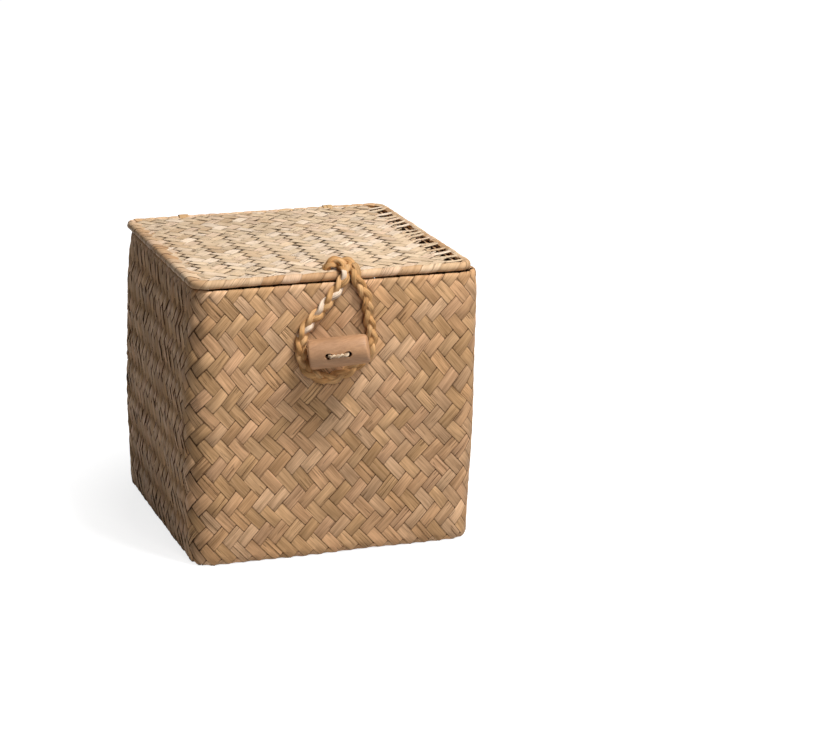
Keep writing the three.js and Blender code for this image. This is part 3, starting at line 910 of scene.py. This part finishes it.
def roll_point(s, length, out, reach):
    """A point of a wrap, a length round the roll from its outer side: up on to the lid or down under it."""
    point, normal = round_outline(s, *LID_OUTLINE)
    point = point + Vector((LID_X, 0, 0))
    up = 1 if length > 0 else -1
    turned = min(abs(length), roll_quarter) / ROLL_RADIUS
    facing = normal * cos(turned) + Vector((0, 0, up * sin(turned)))
    centre = point - normal * ROLL_RADIUS + Vector((0, 0, ROLL_Z * MM))
    place = centre + facing * (ROLL_RADIUS + out)
    beyond = abs(length) - roll_quarter
    if beyond > 0:
        eased = min(1, beyond / (reach if up > 0 else WRAP_UNDER))
        place -= normal * beyond + Vector((0, 0, up * WRAP_DROPS[up] * eased * eased * (3 - 2 * eased)))
    ripple = ROLL_RIPPLE * noise_at(point.x * 60, point.y * 60, 8)
    return place + (normal + Vector((0, 0, 1))) * ripple


wrap_mesh = new_fabric()
wrap_chance = random.Random(61)
around_lid = 0.0
wrap_number = 0
while around_lid < outline_length(*LID_OUTLINE) - WRAP_LAST:
    side = lid_side(around_lid)
    spacing = wrap_chance.uniform(*WRAP_SPACING[side]) * MM
    reach = WRAP_REACH[side] * wrap_chance.uniform(0.85, 1.15) * MM
    slant = WRAP_SLANT * wrap_chance.uniform(0.6, 1.25)
    colour = wrap_chance.choice(WRAP_COLOURS)
    light = wrap_chance.uniform(0.94, 1.05)
    lower_end = -roll_quarter - WRAP_UNDER
    upper_end = roll_quarter + reach

    def wrap_place(u, v):
        length = lower_end + (upper_end - lower_end) * v
        ragged = WRAP_RAGGED * noise_at(u * 2, wrap_number * 3.1, 2) * max(0, v - 0.8) * 5
        lift = WRAP_TILT * u + WRAP_CROWN * sin(pi * u) - WRAP_SINK
        uneven = WRAP_UNEVEN * noise_at(u * 3, v * 2, wrap_number * 1.7)
        calm = 1 if length > -ROLL_RADIUS else 0.6
        s = around_lid + (spacing + WRAP_LAP) * u + slant * length
        return roll_point(s, length + ragged, (lift + uneven) * calm, reach)

    def wrap_paint(u, v):
        # The last value places painted shade at the lapped side and the ends of each wrap.
        patch = light * (1 + 0.12 * noise_at(u * 2, v * 2, wrap_number))
        return (tuple(c * patch for c in colour), v * 0.022 + wrap_number * 0.31, u * spacing + wrap_number,
                max(u, 0.9 * abs(2 * v - 1)))

    lay_grid(wrap_mesh, WRAP_ACROSS, WRAP_STEPS, wrap_place, wrap_paint)
    around_lid += spacing
    wrap_number += 1
roll_leaf = leaf_material("rolled edge leaf", (0.80, 0.76, 0.72), (1.10,) * 3, edge_shade=0.6, splits=0.5)
roll_wraps = finished(wrap_mesh, "rolled_edge_wraps", roll_leaf, STRIP_THICKNESS)
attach(roll_wraps, "lid")
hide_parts("lid_rolled_edge")

# Cane in the rolled edge
# A thin round cane bent to the lid's outline. The wraps hide it, so it keeps its plain shape.
CANE_DARK = srgb(176, 134, 84)
CANE_PALE = srgb(212, 176, 124)
CANE_FINENESS = 420
CANE_RELIEF = 0.1 * MM
CANE_ROUGHNESS = 0.45
cane, cane_tree, cane_shader = new_material("cane")
cane_place = node(cane_tree, "ShaderNodeTexCoord").outputs["Object"]
cane_grain = grain(cane_tree, cane_place, 4, scale=CANE_FINENESS)
feed(cane_tree, cane_shader, {"Base Color": mixed(cane_tree, cane_grain, CANE_DARK, CANE_PALE),
                              "Normal": bumped(cane_tree, cane_grain, CANE_RELIEF),
                              "Roughness": CANE_ROUGHNESS})
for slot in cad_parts["lid_edge_core"].material_slots:
    slot.material = cane

# Hinge ties
# Two flat strips of leaf, each led round the back of the rolled edge, down behind the wall and back in
# through it. The lid turns in them as in loops.
TIE_WIDTH = 7
TIE_THICKNESS = 0.8
TIE_X = 56
TIE_RADIUS = 3.5
TIE_FOOT = 187.3
TIE_LEAN = radians(14)
TIE_BEND = 1.3
TIE_STEP = 0.7 * MM
TIE_CROWN = 0.15
TIE_UNEVEN = 0.15
TIE_COLOURS = [srgb(206, 170, 124), srgb(198, 160, 116)]


def bent_route(corners, bend, step):
    """Straight runs between corners in millimetres, with rounded bends, as evenly spaced points in metres."""
    points = [Vector(c) * MM for c in corners]
    dense = [points[0]]
    for before, corner, after in zip(points, points[1:], points[2:]):
        into, out = (corner - before).normalized(), (after - corner).normalized()
        reach = bend * MM * tan(into.angle(out) / 2)
        begin, finish = corner - into * reach, corner + out * reach
        dense += [begin.lerp(corner, k / 8).lerp(corner.lerp(finish, k / 8), k / 8) for k in range(9)]
    return even_line(dense + [points[-1]], step)


def tie_route():
    """The tie's closed path, from the middle of its foot out, up, over the roll and down to it again."""
    arc = [TIE_LEAN + (pi - TIE_LEAN) * k / 12 for k in range(13)]
    over_roll = [(0, ROLL_Y + TIE_RADIUS * cos(a), ROLL_Z + TIE_RADIUS * sin(a)) for a in arc]
    _, start_y, start_z = over_roll[0]
    inner_foot = (0, ROLL_Y - TIE_RADIUS, TIE_FOOT)
    outer_foot = (0, start_y + (start_z - TIE_FOOT) * tan(TIE_LEAN), TIE_FOOT)
    middle = (0, (inner_foot[1] + outer_foot[1]) / 2, TIE_FOOT)
    return bent_route([middle, outer_foot] + over_roll + [inner_foot, middle], TIE_BEND, TIE_STEP)


def tie_mesh_at(x, seed):
    mesh = new_fabric()
    line = tie_route()
    line[-1] = line[0]

    def place(u, v):
        i = round(u * (len(line) - 1)) % (len(line) - 1)
        along = (line[i + 1] - line[i - 1 if i else -2]).normalized()
        outward = along.cross(Vector((1, 0, 0)))
        across = 2 * v - 1
        lift = TIE_CROWN * (1 - across * across) + TIE_UNEVEN * noise_at(u * 9, across, seed)
        sideways = Vector((x + across * TIE_WIDTH / 2, 0, 0))
        return line[i] + (sideways + outward * (TIE_THICKNESS / 2 + lift)) * MM

    def paint(u, v):
        return TIE_COLOURS[seed % 2], u * 0.045 + seed, v * TIE_WIDTH * MM, abs(2 * v - 1)

    lay_grid(mesh, len(line) - 1, 8, place, paint)
    bmesh.ops.remove_doubles(mesh, verts=mesh.verts, dist=SEAM_GAP)
    return mesh


tie_leaf = leaf_material("tie leaf", (0.78, 0.74, 0.68), (1.08,) * 3, edge_shade=0.35, relief=0.18 * MM)
for name, x, seed in (("hinge_tie_left", -TIE_X, 1), ("hinge_tie_right", TIE_X, 2)):
    tie = finished(tie_mesh_at(x, seed), name + "_strip", tie_leaf, TIE_THICKNESS * MM)
    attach(tie, "basket")
    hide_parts(name)

# Toggle
# A short piece of beech turned to a barrel, sanded soft at its ends, with two holes bored through it for the
# cord. Wear has drawn the holes' mouths towards each other.
TOGGLE_RADIUS = 10.25 * MM
TOGGLE_LENGTH = 40.6 * MM
TOGGLE_PLACE = Vector((-4.2, -121.67, 153.1)) * MM
TOGGLE_TILT = radians(7.6)
TOGGLE_TURN = radians(19)
TOGGLE_EDGE = 1.7 * MM
TOGGLE_SIDES = 96
TOGGLE_UNEVEN = 0.012
TOGGLE_BARREL = 0.012
END_UNEVEN = 0.5 * MM
WORN_RUN = 6 * MM
WORN_DEPTH = 0.11
HOLE_HALF_SPACING = 6.8 * MM
HOLE_RADIUS = 2.2 * MM
HOLE_SIDES = 32
HOLE_MOUTH = Vector((3.1, 1.9, 2.3))
MOUTH_SHIFT = 0.3 * MM
MOUTH_RISE = 0.4 * MM
WELD_GAP = 0.002 * MM
CREASE = radians(38)
toggle_turned = (Matrix.Translation(TOGGLE_PLACE) @ Matrix.Rotation(-TOGGLE_TURN, 4, "Z")
                 @ Matrix.Rotation(-TOGGLE_TILT, 4, "Y"))


def barrel():
    """The turned piece, lying along X about the origin, a little uneven as hand work is."""
    mesh = bmesh.new()
    bmesh.ops.create_cone(mesh, cap_ends=True, segments=TOGGLE_SIDES, radius1=TOGGLE_RADIUS,
                          radius2=TOGGLE_RADIUS, depth=TOGGLE_LENGTH)
    ends = [e for e in mesh.edges if abs(e.verts[0].co.z - e.verts[1].co.z) < MM]
    bmesh.ops.bevel(mesh, geom=ends, offset=TOGGLE_EDGE, offset_type="OFFSET", segments=6, profile=0.5,
                    affect="EDGES", material=-1)
    sides = [e for e in mesh.edges if abs(e.verts[0].co.z - e.verts[1].co.z) > 10 * MM]
    bmesh.ops.subdivide_edges(mesh, edges=sides, cuts=22, use_grid_fill=True)
    bmesh.ops.rotate(mesh, verts=mesh.verts, cent=(0, 0, 0), matrix=Matrix.Rotation(pi / 2, 3, "Y"))
    for vert in mesh.verts:
        size = 1 + TOGGLE_UNEVEN * noise.noise(vert.co * 90)
        size -= TOGGLE_BARREL * (2 * vert.co.x / TOGGLE_LENGTH) ** 2
        to_end = max(0, (vert.co.x - TOGGLE_LENGTH / 2 + WORN_RUN) / WORN_RUN)
        upper = max(0, vert.co.z / TOGGLE_RADIUS)
        size -= WORN_DEPTH * to_end ** 2 * upper ** 1.5
        vert.co.y *= size
        vert.co.z *= size
        vert.co.x += END_UNEVEN * noise_at(vert.co.x * 20, vert.co.y * 90, vert.co.z * 90)
    return mesh


def bored(mesh, cutters):
    """The mesh with the cutters taken out of it, as a bmesh."""
    blank = as_object(mesh, "blank")
    tools = as_object(cutters, "cutters")
    cut = blank.modifiers.new("bore", "BOOLEAN")
    cut.operation = "DIFFERENCE"
    cut.solver = "EXACT"
    cut.use_self = True
    cut.object = tools
    result = bmesh.new()
    result.from_object(blank, bpy.context.evaluated_depsgraph_get())
    for used in (blank, tools):
        data = used.data
        bpy.data.objects.remove(used)
        bpy.data.meshes.remove(data)
    return result


cutters = bmesh.new()
for side in (-1, 1):
    across = Matrix.Translation((side * HOLE_HALF_SPACING, 0, 0)) @ Matrix.Rotation(pi / 2, 4, "X")
    bmesh.ops.create_cone(cutters, cap_ends=True, segments=HOLE_SIDES, radius1=HOLE_RADIUS,
                          radius2=HOLE_RADIUS, depth=3 * TOGGLE_RADIUS, matrix=across)
    for face in (-1, 1):
        mouth = (side * (HOLE_HALF_SPACING - MOUTH_SHIFT), face * (TOGGLE_RADIUS + MOUTH_RISE), 0)
        bmesh.ops.create_uvsphere(cutters, u_segments=HOLE_SIDES, v_segments=HOLE_SIDES // 2, radius=MM,
                                  matrix=Matrix.Translation(mouth) @ Matrix.Diagonal((*HOLE_MOUTH, 1)))
toggle_mesh = bored(barrel(), cutters)
bmesh.ops.remove_doubles(toggle_mesh, verts=toggle_mesh.verts, dist=WELD_GAP)
bmesh.ops.transform(toggle_mesh, matrix=toggle_turned, verts=toggle_mesh.verts)
for edge in toggle_mesh.edges:
    edge.smooth = len(edge.link_faces) == 2 and edge.calc_face_angle() < CREASE

BEECH_DARK = srgb(146, 102, 67)
BEECH_PALE = srgb(198, 153, 113)
BEECH_FIBRES = (45, 900, 900)
BEECH_BANDS = (14, 210, 150)
BEECH_RELIEF = 0.12 * MM
beech, beech_tree, beech_shader = new_material("beech")
beech_place = node(beech_tree, "ShaderNodeTexCoord").outputs["Object"]
beech_place = node(beech_tree, "ShaderNodeMapping",
                   {"Vector": beech_place, "Location": tuple(-TOGGLE_PLACE)}).outputs[0]
beech_grain = grain(beech_tree, stretched(beech_tree, beech_place, BEECH_FIBRES), 5, 0.65)
beech_bands = grain(beech_tree, stretched(beech_tree, beech_place, BEECH_BANDS), 2)
banded = ranged(beech_tree, beech_bands, (0.35, 0.65), (0.86, 1.08))
wood = mixed(beech_tree, beech_grain, BEECH_DARK, BEECH_PALE)
feed(beech_tree, beech_shader, {"Base Color": mixed(beech_tree, 1, wood, banded, blend_type="MULTIPLY"),
                                "Roughness": ranged(beech_tree, beech_grain, given=(0.62, 0.5)),
                                "Normal": bumped(beech_tree, beech_grain, BEECH_RELIEF, 0.6)})
toggle = finished(toggle_mesh, "beech_toggle", beech)
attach(toggle, "toggle")
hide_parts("toggle")

# Cord of the toggle
# Two plies of pale thread. It comes out of the wall, goes through one hole of the toggle, across its front
# and back through the other, and is knotted inside the wall.
CORD_RADIUS = 1.3 * MM
PLY_RADIUS = 0.8 * MM
PLY_ORBIT = 0.58 * MM
PLY_REPEAT = 5.5 * MM
PLY_STEP = 0.35 * MM
PLY_SIDES = 10
CORD_KNOT_Y = 24.68
CORD_CORNERS = [(-1.45, CORD_KNOT_Y, 0), (-1.45, 17.42, 0), (-6.8, 10.55, 0), (-5.9, -11.5, 0)]
CORD_BEND = 2.4
STOP_KNOT_HALF = Vector((6, 5, 3.1)) * MM
STOP_KNOT_STEPS = 140
THREAD_COLOURS = [srgb(218, 196, 168), srgb(192, 166, 138)]

cord_line = bent_route(CORD_CORNERS + [(-x, y, z) for x, y, z in reversed(CORD_CORNERS)], CORD_BEND, PLY_STEP)
cord_frames = frames_along(cord_line, 0, Vector((0, 0, 1)))
cord_length = PLY_STEP * (len(cord_line) - 1)


def ply_place(ply):
    def place(u, v):
        i = round(u * (len(cord_line) - 1))
        _, side, face = cord_frames[i]
        twist = 2 * pi * (i * PLY_STEP / PLY_REPEAT + ply / 2)
        centre = cord_line[i] + (side * cos(twist) + face * sin(twist)) * PLY_ORBIT
        around = 2 * pi * v
        return centre + (side * cos(around) + face * sin(around)) * PLY_RADIUS
    return place


def ply_paint(ply):
    def paint(u, v):
        return THREAD_COLOURS[ply], u * cord_length + ply, v * 2 * pi * PLY_RADIUS, 0.0
    return paint


cord_mesh = new_fabric()
stop_knot = trefoil(Vector(), STOP_KNOT_HALF, CORD_RADIUS)
lay_grid(cord_mesh, STOP_KNOT_STEPS, 12, tube_round(stop_knot, CORD_RADIUS, 2, 18), ply_paint(0))
stood_up = Matrix.Translation(Vector((0, CORD_KNOT_Y, 0)) * MM) @ Matrix.Rotation(pi / 2, 4, "X")
bmesh.ops.transform(cord_mesh, matrix=stood_up, verts=cord_mesh.verts)
for ply in (0, 1):
    lay_grid(cord_mesh, len(cord_line) - 1, PLY_SIDES, ply_place(ply), ply_paint(ply))
close_tubes(cord_mesh)
bmesh.ops.transform(cord_mesh, matrix=toggle_turned, verts=cord_mesh.verts)
thread = leaf_material("thread", (0.76, 0.73, 0.70), (1.08,) * 3, splits=0.2, fineness=2.0, roughness=0.75,
                       relief=0.1 * MM)
toggle_cord = finished(cord_mesh, "twisted_cord", thread)
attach(toggle_cord, "toggle")
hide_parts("toggle_cord")

# Floor and lights
# A plain white floor that keeps the soft shadow, a large lamp above on the right and a weak one in front.
FLOOR_HALF = 6
FLOOR_GREY = (0.45, 0.45, 0.45, 1)
FLOOR_GLOW = 0.81
FLOOR_WHITE = (0.12, 0.2)
WORLD_FILL = 0.03
WHITE = (1, 1, 1, 1)
LAMP_AIM = Vector((0, 0, 0.1))


def seen_directly(tree):
    """1 for what the camera sees, straight or through gloss or glass, and 0 for light that bounces."""
    ray = node(tree, "ShaderNodeLightPath").outputs
    either = maths(tree, "MAXIMUM", ray["Is Camera Ray"], ray["Is Glossy Ray"])
    return maths(tree, "MAXIMUM", either, ray["Is Transmission Ray"])


studio_mesh = bmesh.new()
bmesh.ops.create_grid(studio_mesh, x_segments=1, y_segments=1, size=FLOOR_HALF)
studio_white, studio_tree, studio_shader = new_material("studio floor")
studio_place = node(studio_tree, "ShaderNodeTexCoord").outputs["Object"]
studio_reach = node(studio_tree, "ShaderNodeVectorMath", {0: studio_place}, operation="LENGTH").outputs[1]
studio_level = ranged(studio_tree, studio_reach, FLOOR_WHITE, (FLOOR_GLOW, 1.0))
studio_glow = maths(studio_tree, "MULTIPLY", seen_directly(studio_tree), studio_level)
feed(studio_tree, studio_shader, {"Base Color": FLOOR_GREY, "Roughness": 1, "Specular IOR Level": 0,
                                  "Emission Color": WHITE, "Emission Strength": studio_glow})
studio_floor = finished(studio_mesh, "studio_floor", studio_white)


def soft_lamp(name, place, size, power):
    data = bpy.data.lights.new(name, "AREA")
    data.shape = "DISK"
    data.size = size
    data.energy = power
    lamp = bpy.data.objects.new(name, data)
    scene.collection.objects.link(lamp)
    lamp.location = place
    lamp.rotation_euler = (LAMP_AIM - lamp.location).to_track_quat("-Z", "Y").to_euler()


soft_lamp("lamp_above", (0.45, -0.65, 1.45), size=0.5, power=27.8)
soft_lamp("lamp_front", (0.15, -2.1, 1.2), size=0.8, power=13)

world = bpy.data.worlds.new("studio")
scene.world = world
world.use_nodes = True
world_tree = world.node_tree
world_tree.nodes.clear()
world_strength = ranged(world_tree, seen_directly(world_tree), given=(WORLD_FILL, 1.0))
world_light = node(world_tree, "ShaderNodeBackground", {"Color": WHITE, "Strength": world_strength})
node(world_tree, "ShaderNodeOutputWorld", {"Surface": world_light.outputs[0]})
scene.view_settings.view_transform = "Standard"
